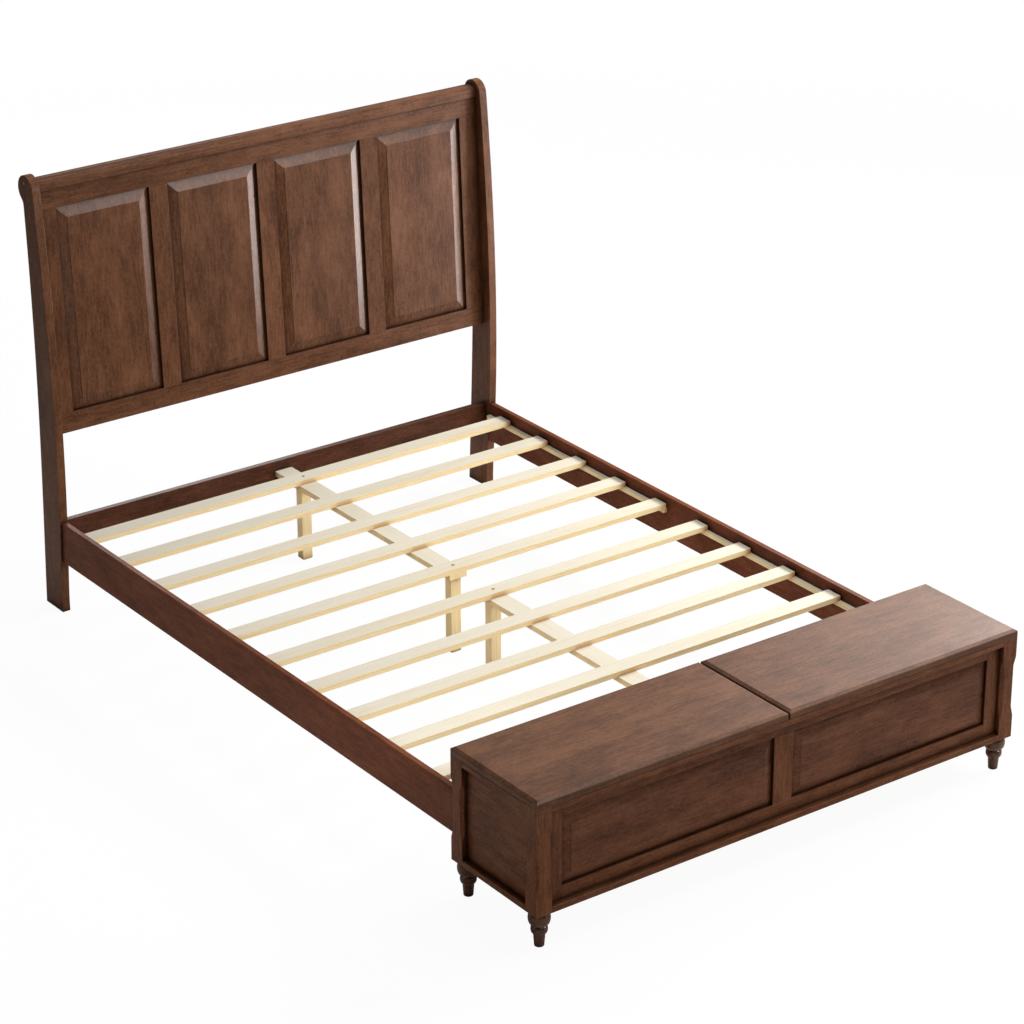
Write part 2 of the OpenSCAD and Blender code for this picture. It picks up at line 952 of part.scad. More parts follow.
// Rail between the stiles, with a groove on its open edge and a tenon at each end
module front_frame_rail(low, high, open_edge) {
    set_in = tongue_length + tenon_shoulder;
    difference() {
        block([-front_opening_out, 0, low], [front_opening_out, front_frame, high]);
        groove_along_x(-front_opening_out, front_opening_out, open_edge);
    }
    for (side = [LEFT, RIGHT])
        bed_side(side)
            stub_tenon([front_opening_out, low + set_in],
                       [front_opening_out + tongue_length, high - set_in]);
}

module front_stile(side) {
    color(walnut) bed_side(side) chest_front() difference() {
        block([front_opening_out, 0, frame_z], [post_inner, front_frame, cover_rail_z]);
        groove_along_z(front_opening_out, frame_z, cover_rail_z);
    }
}

module front_mullion_piece() {
    set_in = tongue_length + tenon_shoulder;
    color(walnut) chest_front() {
        difference() {
            block([-front_opening_in, 0, front_opening_low],
                  [front_opening_in, front_frame, front_opening_high]);
            for (x = [-front_opening_in, front_opening_in])
                groove_along_z(x, front_opening_low, front_opening_high);
        }
        for (z = [front_opening_low - tongue_length, front_opening_high])
            stub_tenon([-front_opening_in + set_in, z],
                       [front_opening_in - set_in, z + tongue_length]);
    }
}

module front_panel(side) {
    color(walnut) bed_side(side) chest_front()
        raised_panel([front_opening_in, front_opening_low],
                     [front_opening_out, front_opening_high], front_bevel);
}

// ---------------------------------------------------------------- inside the chest

module bottom_board_piece() {
    reach = panel_inner - seat_gap;
    color(pine) difference() {
        block([-reach, front_back_y + seat_gap, frame_z], [reach, back_inner_y - seat_gap, floor_top]);
        for (side = [LEFT, RIGHT], end = [FRONT, BACK])
            chest_corner(side, end)
                block([-1, -1, foot_height],
                      [post_size + seat_gap, post_size + seat_gap, carcass_top]);
    }
}

module chest_divider() {
    color(walnut)
        block([-divider / 2, front_back_y + seat_gap, floor_top],
              [divider / 2, back_inner_y - seat_gap, carcass_top]);
}

// ---------------------------------------------------------------- lids

// Points of a bevelled edge going up, as distance from the edge and height
function lid_edge() = [
    [0, 0],
    [0, lid_thickness - lid_bevel_drop - 2 * quirk],
    [quirk, lid_thickness - lid_bevel_drop - 1.5 * quirk],
    [0, lid_thickness - lid_bevel_drop - quirk],
    [0, lid_thickness - lid_bevel_drop],
    [lid_bevel, lid_thickness]
];

// The same edge turned round, going down at a far side
function lid_far_edge(width) = [
    for (i = [len(lid_edge()) - 1:-1:0]) [width - lid_edge()[i][0], lid_edge()[i][1]]
];

// Lid drawn on the right, bevelled on all four edges
module lid(side) {
    width = chest_half - seam / 2;
    color(walnut) bed_side(side) difference() {
        translate([seam / 2, 0, lid_z]) intersection() {
            along_y(0, chest_depth) polygon(concat(lid_edge(), lid_far_edge(width)));
            along_x(0, width) polygon(concat(lid_edge(), lid_far_edge(chest_depth)));
        }
        at_side_hinges() mirrored_leaf_pocket();
    }
}

// ---------------------------------------------------------------- hinges

// The two hinges of the lid on the right, at the pin's axis
module at_side_hinges() {
    for (x = [seam / 2 + hinge_inset, chest_half - hinge_inset])
        translate([x, pin_y, pin_z]) children();
}

module at_hinges() {
    for (side = [LEFT, RIGHT]) bed_side(side) at_side_hinges() children();
}

// Plate of a leaf below the pin's level, from the pin forwards
module leaf_plate(from, to, back) {
    block([from, chest_depth - leaf_width - pin_y, -lid_gap / 2 - leaf_thickness],
          [to, back, -lid_gap / 2]);
}

// Pocket in the chest for the lower leaf
module leaf_pocket() {
    half = hinge_length / 2;
    block([-half, chest_depth - leaf_width - pin_y, -lid_gap / 2 - leaf_thickness],
          [half, 1 - pin_y + chest_depth, lid_gap]);
}

module mirrored_leaf_pocket() {
    mirror([0, 0, 1]) leaf_pocket();
}

// Countersunk holes through a leaf, which open towards the other leaf
module leaf_screw_holes() {
    cut = 1;
    for (i = [0:leaf_screws - 1])
        translate([(i - (leaf_screws - 1) / 2) * leaf_screw_pitch,
                   chest_depth - leaf_width / 2 - pin_y,
                   -lid_gap / 2 - leaf_thickness - cut])
            cylinder(h = leaf_thickness + 2 * cut,
                     r1 = leaf_screw_radius - cut,
                     r2 = leaf_screw_radius + leaf_thickness + cut);
}

// A leaf with the knuckles of the given numbers, its plate below the pin
module leaf(numbers) {
    half = hinge_length / 2;
    gap = knuckle_clear / 2;
    difference() {
        union() {
            leaf_plate(-half, half, chest_depth - pin_y);
            for (i = numbers) {
                from = -half + i * knuckle_pitch + gap;
                to = from + knuckle_pitch - 2 * gap;
                leaf_plate(from, to, 0);
                translate([from, 0, 0]) rotate([0, 90, 0]) cylinder(h = to - from, r = knuckle_radius);
            }
        }
        leaf_screw_holes();
        translate([-half - 1, 0, 0])
            rotate([0, 90, 0]) cylinder(h = hinge_length + 2, r = pin_radius + round_play);
    }
}

module hinge_chest_leaves() {
    color(brass) at_hinges() leaf([0:2:knuckles - 1]);
}

module hinge_lid_leaves(side) {
    color(brass) bed_side(side) at_side_hinges() mirror([0, 0, 1]) leaf([1:2:knuckles - 1]);
}

module hinge_pins() {
    color(steel) at_hinges()
        translate([-hinge_length / 2, 0, 0])
            rotate([0, 90, 0]) cylinder(h = hinge_length, r = pin_radius);
}

// ---------------------------------------------------------------- pieces

placed() headboard_post(LEFT);  // headboard_post_left
placed() headboard_post(RIGHT);  // headboard_post_right
placed() headboard_cap();
placed() headboard_top_rail();
placed() headboard_bottom_rail();
placed() headboard_stile(LEFT);  // headboard_stile_left
placed() headboard_stile(RIGHT);  // headboard_stile_right
for (i = [1:board_panels - 1])
    placed() headboard_mullion(i);
for (i = [1:board_panels])
    placed() headboard_panel(i);
placed() head_cross_rail();
placed() post_plugs();
placed() side_rail(LEFT);  // side_rail_left
placed() side_rail(RIGHT);  // side_rail_right
placed() slat_ledgers(LEFT);  // slat_ledgers_left
placed() slat_ledgers(RIGHT);  // slat_ledgers_right
placed() rail_hook_plates();
placed() rail_keeper_plates();
placed() centre_rail(head_run_y, cross_rail_y - seat_gap, [1, slat_half]);  // centre_rail_head
placed() centre_rail(chest_depth, foot_run_y, [slat_half + 1, slat_count]);  // centre_rail_foot
placed() support_legs();
placed() support_leg_screws();
placed() slats(1, slat_half);  // slats_head
placed() slats(slat_half + 1, slat_count);  // slats_foot
placed() chest_post(LEFT, FRONT);  // chest_post_front_left
placed() chest_post(RIGHT, FRONT);  // chest_post_front_right
placed() chest_post(LEFT, BACK);  // chest_post_back_left
placed() chest_post(RIGHT, BACK);  // chest_post_back_right
placed() turned_feet();
placed() front_cover_rail();
placed() front_base_rail();
placed() front_frame_top_rail();
placed() front_frame_bottom_rail();
placed() front_stile(LEFT);  // front_stile_left
placed() front_stile(RIGHT);  // front_stile_right
placed() front_mullion_piece();  // front_mullion
placed() front_panel(LEFT);  // front_panel_left
placed() front_panel(RIGHT);  // front_panel_right
placed() end_cover_rail(LEFT);  // end_cover_rail_left
placed() end_cover_rail(RIGHT);  // end_cover_rail_right
placed() end_base_rail(LEFT);  // end_base_rail_left
placed() end_base_rail(RIGHT);  // end_base_rail_right
placed() end_panel(LEFT);  // end_panel_left
placed() end_panel(RIGHT);  // end_panel_right
placed() back_cover_rail();
placed() back_base_rail();
placed() back_mullion();
placed() back_panels();
placed() bottom_board_piece();  // bottom_board
placed() chest_divider();
placed() lid(LEFT);  // lid_left
placed() lid(RIGHT);  // lid_right
placed() hinge_chest_leaves();
placed() hinge_lid_leaves(LEFT);  // hinge_lid_leaves_left
placed() hinge_lid_leaves(RIGHT);  // hinge_lid_leaves_right
placed() hinge_pins();
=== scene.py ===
"""Finish, light and camera for a bed with a blanket chest as its footboard.

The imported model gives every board, post, slat and fitting its shape and its place. Here the arrises
are eased, each piece gets its wood or metal with the grain the way it was sawn, the hinges get their
screws, and the bed is set on a pale floor under soft lamps.
"""

import logging
import math
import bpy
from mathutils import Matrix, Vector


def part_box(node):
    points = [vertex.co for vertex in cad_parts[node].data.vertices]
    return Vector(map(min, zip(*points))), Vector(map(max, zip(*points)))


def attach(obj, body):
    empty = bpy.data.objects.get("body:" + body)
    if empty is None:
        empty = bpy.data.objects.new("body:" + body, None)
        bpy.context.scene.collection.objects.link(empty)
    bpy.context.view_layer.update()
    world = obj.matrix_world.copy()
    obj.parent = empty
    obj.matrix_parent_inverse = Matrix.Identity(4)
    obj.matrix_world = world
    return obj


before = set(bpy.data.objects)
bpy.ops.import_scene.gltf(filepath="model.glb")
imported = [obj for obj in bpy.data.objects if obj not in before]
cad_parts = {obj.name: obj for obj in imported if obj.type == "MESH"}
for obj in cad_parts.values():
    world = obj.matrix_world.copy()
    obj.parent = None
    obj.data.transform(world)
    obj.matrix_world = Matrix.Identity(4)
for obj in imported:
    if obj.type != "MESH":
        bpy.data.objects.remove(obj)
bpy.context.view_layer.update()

import zlib
from dataclasses import dataclass
from enum import Enum
from typing import Any, Union

import bpy
from mathutils import Matrix, Vector

log = logging.getLogger("bed")

Colour = tuple[float, float, float, float]
Triple = tuple[float, float, float]
Pair = tuple[float, float]
SIDES = ("left", "right")
BLACK: Colour = (0.0, 0.0, 0.0, 1.0)
GREY: Colour = (0.5, 0.5, 0.5, 1.0)
WHITE: Colour = (1.0, 1.0, 1.0, 1.0)
# Cosines of the turn at which an edge starts to look rubbed, and is rubbed in full.
RUBBED_TURN = (0.995, 0.80)
# Shares of open sky at which the painted shade of a recess starts, and is at its darkest.
RECESS_SKY = (0.94, 0.40)
EDGE_SAMPLES = 4
SKY_SAMPLES = 6
# The largest checksum of four bytes.
LARGEST_SUM = 0xFFFFFFFF


def colour(code: str) -> Colour:
    """A colour for the shader from its usual six-digit code.

    Args:
        code: Red, green and blue as a code such as "#5a3a2b".

    Returns:
        The same colour in linear light, with full alpha.
    """
    parts = [int(code[at : at + 2], 16) / 255 for at in (1, 3, 5)]
    linear = [p / 12.92 if p <= 0.04045 else ((p + 0.055) / 1.055) ** 2.4 for p in parts]
    return (linear[0], linear[1], linear[2], 1.0)


def millimetres(length: float) -> float:
    """A length in millimetres as metres."""
    return length / 1000


class Grain(Enum):
    """How a board was cut: the way along its grain, and the way across its broad face."""

    X_FLAT = ((1, 0, 0), (0, 1, 0))
    X_UPRIGHT = ((1, 0, 0), (0, 0, 1))
    Y_FLAT = ((0, 1, 0), (1, 0, 0))
    Y_UPRIGHT = ((0, 1, 0), (0, 0, 1))
    Z_FACING_FRONT = ((0, 0, 1), (1, 0, 0))
    Z_FACING_SIDE = ((0, 0, 1), (0, 1, 0))

    def turn(self) -> Triple:
        """The turn that brings the grain along X and the broad face's width along Y."""
        along, across = (Vector(way) for way in self.value)
        return tuple(Matrix((along, across, along.cross(across))).to_euler("XYZ"))


class Signal:
    """A value in a shader that can be used in Python sums."""

    def __init__(self, graph: "Graph", socket: bpy.types.NodeSocket) -> None:
        """Keeps the graph and the socket that gives the value."""
        self.graph = graph
        self.socket = socket

    def math(self, operation: str, first: "Value", second: "Value") -> "Signal":
        """Adds the Math node for one operation on two values."""
        return self.graph.node("ShaderNodeMath", {"operation": operation}, {0: first, 1: second})

    def __add__(self, other: "Value") -> "Signal":
        """The sum with a value."""
        return self.math("ADD", self, other)

    def __radd__(self, other: "Value") -> "Signal":
        """The sum with a value on the left."""
        return self.math("ADD", other, self)

    def __sub__(self, other: "Value") -> "Signal":
        """What is left after a value is taken away."""
        return self.math("SUBTRACT", self, other)

    def __rsub__(self, other: "Value") -> "Signal":
        """What is left of a value after this one is taken away."""
        return self.math("SUBTRACT", other, self)

    def __mul__(self, other: "Value") -> "Signal":
        """The product with a value."""
        return self.math("MULTIPLY", self, other)

    def __rmul__(self, other: "Value") -> "Signal":
        """The product with a value on the left."""
        return self.math("MULTIPLY", other, self)

    def __pow__(self, other: "Value") -> "Signal":
        """The value raised to a power."""
        return self.math("POWER", self, other)


Value = Union[Signal, float, tuple]


class Graph:
    """The nodes of one material, or of the world."""

    def __init__(self, owner: Union[bpy.types.Material, bpy.types.World]) -> None:
        """Starts with no nodes.

        Args:
            owner: The material or the world that gets the nodes.
        """
        owner.use_nodes = True
        self.owner = owner
        self.tree = owner.node_tree
        self.tree.nodes.clear()

    @classmethod
    def of_material(cls, name: str) -> "Graph":
        """The graph of a new material with that name."""
        return cls(bpy.data.materials.new(name))

    def node(
        self,
        kind: str,
        settings: dict[str, Any] | None = None,
        sockets: dict[Any, Value] | None = None,
        output: int | str = 0,
    ) -> Signal:
        """Adds a node and gives the signal of one of its outputs.

        Args:
            kind: The node's type.
            settings: Its properties by name; "stops" gives a ramp's places and colours.
            sockets: Values or signals for its inputs, by name or number.
            output: The output that is used.

        Returns:
            The signal of that output.
        """
        return Signal(self, self.add(kind, settings, sockets).outputs[output])

    def add(
        self,
        kind: str,
        settings: dict[str, Any] | None = None,
        sockets: dict[Any, Value] | None = None,
    ) -> bpy.types.Node:
        """Adds a node, sets it and then links it.

        Args:
            kind: The node's type.
            settings: Its properties by name; "stops" gives a ramp's places and colours.
            sockets: Values or signals for its inputs, by name or number.

        Returns:
            The node.
        """
        made = self.tree.nodes.new(kind)
        for name, value in (settings or {}).items():
            if name == "stops":
                self._set_stops(made.color_ramp, value)
            else:
                setattr(made, name, value)
        for name, value in (sockets or {}).items():
            if isinstance(value, Signal):
                self.tree.links.new(value.socket, made.inputs[name])
            else:
                made.inputs[name].default_value = value
        return made

    @staticmethod
    def _set_stops(ramp: bpy.types.ColorRamp, stops: list[tuple[float, Colour]]) -> None:
        """Gives a ramp its stops.

        Args:
            ramp: The ramp, which starts with two stops.
            stops: The place and the colour of each stop, lowest first.
        """
        while len(ramp.elements) < len(stops):
            ramp.elements.new(1.0)
        for element, (place, tone) in zip(ramp.elements, stops):
            element.position = place
            element.color = tone

    def mix(self, amount: Value, first: Value, second: Value, blend: str = "MIX") -> Signal:
        """A colour between two others.

        Args:
            amount: The share of the second colour.
            first: The colour at 0.
            second: The colour at 1.
            blend: How the two are blended.

        Returns:
            The mixed colour.
        """
        settings = {"data_type": "RGBA", "blend_type": blend}
        return self.node("ShaderNodeMix", settings, {0: amount, 6: first, 7: second}, output=2)

    def noise(self, where: Value, scale: float, detail: float, roughness: float = 0.5) -> Signal:
        """Soft noise from 0 to 1 at a scale, with finer detail in it."""
        sockets = {"Vector": where, "Scale": scale, "Detail": detail, "Roughness": roughness}
        return self.node("ShaderNodeTexNoise", {"noise_dimensions": "3D"}, sockets)

    def ramp(self, value: Value, low: float, high: float) -> Signal:
        """Stretches a value so that low becomes 0 and high 1, with the rest cut off."""
        sockets = {"Value": value, "From Min": low, "From Max": high}
        return self.node("ShaderNodeMapRange", {"clamp": True}, sockets)

    def place(self, turn: Triple, shift: Triple) -> Signal:
        """The piece's own coordinates, turned so that the grain runs along X, and then shifted.

        Args:
            turn: The turn that brings the grain along X.
            shift: How far the pattern moves after that.

        Returns:
            The coordinates.
        """
        own = self.node("ShaderNodeTexCoord", output="Object")
        sockets = {"Vector": own, "Location": shift, "Rotation": turn}
        return self.node("ShaderNodeMapping", {"vector_type": "POINT"}, sockets)

    def stretch(self, where: Signal, factors: Triple) -> Signal:
        """Coordinates multiplied by a factor along each axis."""
        sockets = {0: where, 1: factors}
        return self.node("ShaderNodeVectorMath", {"operation": "MULTIPLY"}, sockets)

    def rubbed_edges(self, reach: float) -> Signal:
        """Where the surface turns, such as at an arris: 0 on the flat, up to 1.

        Args:
            reach: How near the turn has to be.

        Returns:
            The share of an edge.
        """
        settings = {"samples": EDGE_SAMPLES}
        softened = self.node("ShaderNodeBevel", settings, {"Radius": reach}, "Normal")
        true = self.node("ShaderNodeNewGeometry", output="Normal")
        dot = {"operation": "DOT_PRODUCT"}
        turn = self.node("ShaderNodeVectorMath", dot, {0: softened, 1: true}, "Value")
        return self.ramp(turn, *RUBBED_TURN)

    def recesses(self, reach: float) -> Signal:
        """Where other faces stand close, such as in an inner corner, which is where shade is painted:
        0 in the open, up to 1.

        Args:
            reach: How near the other faces have to be.

        Returns:
            The share of a recess.
        """
        settings = {"samples": SKY_SAMPLES}
        sky = self.node("ShaderNodeAmbientOcclusion", settings, {"Distance": reach}, "AO")
        return self.ramp(sky, *RECESS_SKY)

    def bump(self, height: Value, strength: float, depth: float) -> Signal:
        """The normal of a surface with fine hills in it.

        Args:
            height: The hills, from 0 to 1.
            strength: The share of them that shows.
            depth: How high they are.

        Returns:
            The normal.
        """
        sockets = {"Strength": strength, "Distance": depth, "Height": height}
        return self.node("ShaderNodeBump", None, sockets)

    def skimming(self, start: float, full: float) -> Signal:
        """How flat the view runs along the surface: 0 up to the start, and 1 from full on."""
        facing = self.node("ShaderNodeLayerWeight", None, {"Blend": 0.5}, "Facing")
        return self.ramp(facing, start, full)

    def surface(self, sockets: dict[str, Value]) -> bpy.types.Material:
        """Ends the material with its shader.

        Args:
            sockets: Values or signals for the shader's inputs.

        Returns:
            The finished material.
        """
        shader = self.node("ShaderNodeBsdfPrincipled", None, sockets)
        self.add("ShaderNodeOutputMaterial", None, {"Surface": shader})
        return self.owner


def chance(piece: str, count: int) -> tuple[float, ...]:
    """Numbers from 0 to 1 that differ from piece to piece but never from run to run.

    Args:
        piece: The name that the numbers belong to.
        count: How many are wanted.

    Returns:
        The numbers.
    """
    sums = (zlib.crc32(f"{piece} {number}".encode()) for number in range(count))
    return tuple(total / LARGEST_SUM for total in sums)


@dataclass(frozen=True)
class Pattern:
    """Noise drawn out along the grain, with how much it colours, raises and dulls the surface."""

    along: float
    across: float
    detail: float = 2.0
    roughness: float = 0.5
    share: float = 1.0
    height: float = 1.0
    dulling: float = 0.0

    def draw(self, graph: Graph, where: Signal) -> Signal:
        """The noise at a place, from 0 to 1."""
        stretched = graph.stretch(where, (self.along, self.across, self.across))
        return graph.noise(stretched, 1.0, self.detail, self.roughness)


@dataclass(frozen=True)
class StainedWalnut:
    """Hardwood staves glued edge to edge under a satin brown stain."""

    deep: Colour = colour("#4a2d1c")
    body: Colour = colour("#623e29")
    pale: Colour = colour("#764e36")
    # Pale tone on the arrises: partly wear, partly a painted highlight along them.
    rubbed_and_highlight: Colour = colour("#87614b")
    # Painted shade: the near-black brown mixed in where recesses and inner corners lie in shade.
    painted_recess_shade: Colour = colour("#1a0d07")
    roughness: float = 0.29
    specular: float = 0.12
    stave: float = 0.062
    stave_length: float = 0.36
    stave_contrast: float = 0.12
    stave_step: float = 0.37
    stave_rows: int = 3
    ragged_share: float = 0.25
    ragged: Pattern = Pattern(30, 30)
    clouds: Pattern = Pattern(5, 13, 2.0, 0.55, share=0.26, dulling=0.10)
    blotches: Pattern = Pattern(18, 44, 3.0, 0.6, share=0.18)
    flecks: Pattern = Pattern(95, 150, 3.0, 0.65, share=0.26, height=0.3)
    fibres: Pattern = Pattern(12, 240, 3.0, 0.65, share=0.30, height=0.7)
    pores: Pattern = Pattern(60, 1500, share=0.35, height=0.6, dulling=0.08)
    pore_cut: Pair = (0.62, 0.74)
    figure_spread: Pair = (0.40, 0.60)
    body_at: float = 0.48
    # How far the painted shade of recesses reaches, and how strong it is.
    recess: float = millimetres(26)
    painted_shade_share: float = 0.9
    rubbed_width: float = millimetres(2.2)
    rubbed_share: float = 0.5
    relief: float = 0.10
    relief_depth: float = millimetres(0.8)
    skimming_view: Pair = (0.60, 0.82)
    skimming_haze: float = 0.5
    boards_apart: float = 3.0

    def material(self, piece: str, grain: Grain) -> bpy.types.Material:
        """The stained wood of one piece.

        Args:
            piece: The piece that wears it, which gives it its own board.
            grain: The way its grain runs.

        Returns:
            The material.
        """
        graph = Graph.of_material(f"walnut_{piece}")
        shift = tuple(self.boards_apart * share for share in chance(piece, 3))
        where = graph.place(grain.turn(), shift)
        clouds = self.clouds.draw(graph, where)
        blotches = self.blotches.draw(graph, where)
        flecks = self.flecks.draw(graph, where)
        fibres = self.fibres.draw(graph, where)
        pores = graph.ramp(self.pores.draw(graph, where), *self.pore_cut)
        figure = self.clouds.share * clouds + self.blotches.share * blotches
        figure = figure + self.flecks.share * flecks + self.fibres.share * fibres
        tone = graph.ramp(figure, *self.figure_spread)
        tone = tone + 2 * self.stave_contrast * (self._staves(graph, where) - 0.5)
        hills = self.fibres.height * fibres + self.flecks.height * flecks
        hills = hills - self.pores.height * pores
        dull = self.roughness + self.clouds.dulling * (clouds - 0.5) + self.pores.dulling * pores
        haze = self.skimming_haze * graph.skimming(*self.skimming_view)
        return graph.surface(
            {
                "Base Color": self._stain(graph, tone, pores),
                "Roughness": dull + haze,
                "Specular IOR Level": self.specular,
                "Normal": graph.bump(hills, self.relief, self.relief_depth),
            }
        )

    def _stain(self, graph: Graph, tone: Signal, pores: Signal) -> Signal:
        """The stain's colour, with painted shade in the recesses and a pale tone on the arrises that
        is partly wear and partly painted highlight.

        Args:
            graph: The nodes of the material.
            tone: How pale the wood is, from 0 to 1.
            pores: 1 in the open pores.

        Returns:
            The colour.
        """
        stops = [(0.0, self.deep), (self.body_at, self.body), (1.0, self.pale)]
        stain = graph.node("ShaderNodeValToRGB", {"stops": stops}, {"Fac": tone})
        stain = graph.mix(self.pores.share * pores, stain, self.deep)
        # Painted shade: the stain darkens where other faces stand close.
        stain = graph.mix(self.painted_shade_share * graph.recesses(self.recess), stain, self.painted_recess_shade)
        # Painted highlight and wear: a paler tone along every arris.
        edge = graph.rubbed_edges(self.rubbed_width)
        return graph.mix(self.rubbed_share * edge, stain, self.rubbed_and_highlight)

    def _staves(self, graph: Graph, where: Signal) -> Signal:
        """The tone of each stave of the board.

        Args:
            graph: The nodes of the material.
            where: The coordinates, with the grain along X.

        Returns:
            The tone, from 0 to 1.
        """
        settings = {"offset": self.stave_step, "offset_frequency": self.stave_rows}
        sockets = {
            "Vector": where,
            "Color1": BLACK,
            "Color2": WHITE,
            "Mortar": GREY,
            "Scale": 1.0,
            "Mortar Size": 0.0,
            "Bias": 0.0,
            "Brick Width": self.stave_length,
            "Row Height": self.stave,
        }
        bricks = graph.node("ShaderNodeTexBrick", settings, sockets)
        level = graph.node("ShaderNodeRGBToBW", None, {"Color": bricks})
        ragged = self.ragged.draw(graph, where)
        return (1 - self.ragged_share) * level + self.ragged_share * ragged


@dataclass(frozen=True)
class PlanedPine:
    """Pale softwood, planed and left bare."""

    early: Colour = colour("#d1cbbb")
    late: Colour = colour("#c9bea1")
    heart: Colour = colour("#c8904f")
    # Painted shade: orange-brown where upright faces lie in recesses, such as under the slats.
    painted_warm_shade: Colour = colour("#a4611f")
    # Painted light: upright faces are made brighter and warmer than the tops.
    upright_painted_light: Colour = (1.50, 1.32, 0.96, 1.0)
    roughness: float = 0.6
    specular: float = 0.15
    ring: float = 0.009
    rings_way: Triple = (0.0, 1.0, 0.6)
    ring_wander: float = 0.10
    late_cut: Pair = (0.25, 1.0)
    late_sharpness: float = 2.0
    late_share: float = 0.55
    late_height: float = 0.4
    bow: Pattern = Pattern(0.9, 3.0)
    clouds: Pattern = Pattern(2, 10, share=0.35)
    cloud_cut: Pair = (0.4, 0.8)
    fibres: Pattern = Pattern(6, 300, 3.0, 0.6, share=0.36, height=0.6, dulling=0.08)
    fibre_cut: Pair = (0.5, 0.75)
    knots_apart: Triple = (1.4, 3.6, 3.6)
    knot_edge: Pair = (0.030, 0.012)
    knot_share: float = 0.7
    # The squared upward part of a face's direction where it counts as lying, and as fully upright.
    upright_cut: Pair = (0.8, 0.1)
    # How far the painted shade of recesses reaches.
    recess: float = millimetres(32)
    relief: float = 0.12
    relief_depth: float = millimetres(0.6)
    boards_apart: float = 2.0

    def material(self, piece: str, grain: Grain) -> bpy.types.Material:
        """The pine of one piece.

        Args:
            piece: The piece that wears it, which gives it its own board.
            grain: The way its grain runs.

        Returns:
            The material.
        """
        graph = Graph.of_material(f"pine_{piece}")
        shift = tuple(self.boards_apart * share for share in chance(piece, 3))
        where = graph.place(grain.turn(), shift)
        late = self._late_wood(graph, where)
        fibres = self.fibres.draw(graph, where)
        clouds = graph.ramp(self.clouds.draw(graph, where), *self.cloud_cut)
        streaks = graph.ramp(fibres, *self.fibre_cut)
        amount = self.late_share * late + self.clouds.share * clouds
        timber = graph.mix(amount, self.early, self.late)
        timber = graph.mix(self.fibres.share * streaks, timber, self.heart)
        timber = graph.mix(self.knot_share * self._knots(graph, where), timber, self.heart)
        upright = self._upright_faces(graph)
        # Painted light on the upright faces.
        timber = graph.mix(upright, timber, self.upright_painted_light, "MULTIPLY")
        # Painted shade in the recesses of the upright faces.
        timber = graph.mix(upright * graph.recesses(self.recess), timber, self.painted_warm_shade)
        hills = self.fibres.height * fibres + self.late_height * late
        return graph.surface(
            {
                "Base Color": timber,
                "Roughness": self.roughness + self.fibres.dulling * (fibres - 0.5),
                "Specular IOR Level": self.specular,
                "Normal": graph.bump(hills, self.relief, self.relief_depth),
            }
        )

    def _late_wood(self, graph: Graph, where: Signal) -> Signal:
        """The darker bands of the year rings.

        Args:
            graph: The nodes of the material.
            where: The coordinates, with the grain along X.

        Returns:
            1 in the middle of a band, and 0 between them.
        """
        bow = self.bow.draw(graph, where)
        dot = {"operation": "DOT_PRODUCT"}
        apart = graph.node("ShaderNodeVectorMath", dot, {0: where, 1: self.rings_way}, "Value")
        rings = (apart + self.ring_wander * bow) * (2 * math.pi / self.ring)
        wave = graph.node("ShaderNodeMath", {"operation": "SINE"}, {0: rings})
        return graph.ramp(wave, *self.late_cut) ** self.late_sharpness

    def _upright_faces(self, graph: Graph) -> Signal:
        """The upright faces, which get painted light and painted shade.

        Args:
            graph: The nodes of the material.

        Returns:
            1 on them, and 0 on the flat faces.
        """
        facing = graph.node("ShaderNodeTexCoord", output="Normal")
        level = graph.node("ShaderNodeSeparateXYZ", None, {"Vector": facing}, "Z")
        return graph.ramp(level * level, *self.upright_cut)

    def _knots(self, graph: Graph, where: Signal) -> Signal:
        """Few small knots, drawn out a little along the grain.

        Args:
            graph: The nodes of the material.
            where: The coordinates, with the grain along X.

        Returns:
            1 in the middle of a knot, and 0 away from it.
        """
        sockets = {"Vector": graph.stretch(where, self.knots_apart), "Scale": 1.0}
        nearest = graph.node("ShaderNodeTexVoronoi", None, sockets, "Distance")
        return graph.ramp(nearest, *self.knot_edge)


@dataclass(frozen=True)
class FittingMetal:
    """Rolled metal of hinges, plates and screws."""

    name: str
    tone: Colour
    tarnish: Colour
    roughness: float = 0.34
    scratches: Pattern = Pattern(60, 1800, 3.0)
    stains: Pattern = Pattern(90, 90, 4.0, 0.6, share=0.6, dulling=0.2)
    stain_cut: Pair = (0.45, 0.75)
    rubbed_width: float = millimetres(0.5)
    rubbed_share: float = 0.5
    rubbed_polish: float = 0.08
    relief: float = 0.15
    relief_depth: float = millimetres(0.2)

    def material(self, piece: str, grain: Grain) -> bpy.types.Material:
        """The metal of one piece.

        Args:
            piece: The piece that wears it.
            grain: The way it was rolled.

        Returns:
            The material.
        """
        graph = Graph.of_material(f"{self.name}_{piece}")
        where = graph.place(grain.turn(), chance(piece, 3))
        stain = self.stains.draw(graph, where)
        edge = graph.rubbed_edges(self.rubbed_width)
        spots = graph.ramp(stain, *self.stain_cut)
        metal = graph.mix(self.stains.share * spots, self.tone, self.tarnish)
        metal = graph.mix(self.rubbed_share * edge, metal, self.tone)
        scratches = self.scratches.draw(graph, where)
        dull = self.roughness + self.stains.dulling * stain - self.rubbed_polish * edge
        return graph.surface(
            {
                "Base Color": metal,
                "Metallic": 1.0,
                "Roughness": dull,
                "Normal": graph.bump(scratches, self.relief, self.relief_depth),
            }
        )


Finish = Union[StainedWalnut, PlanedPine, FittingMetal]


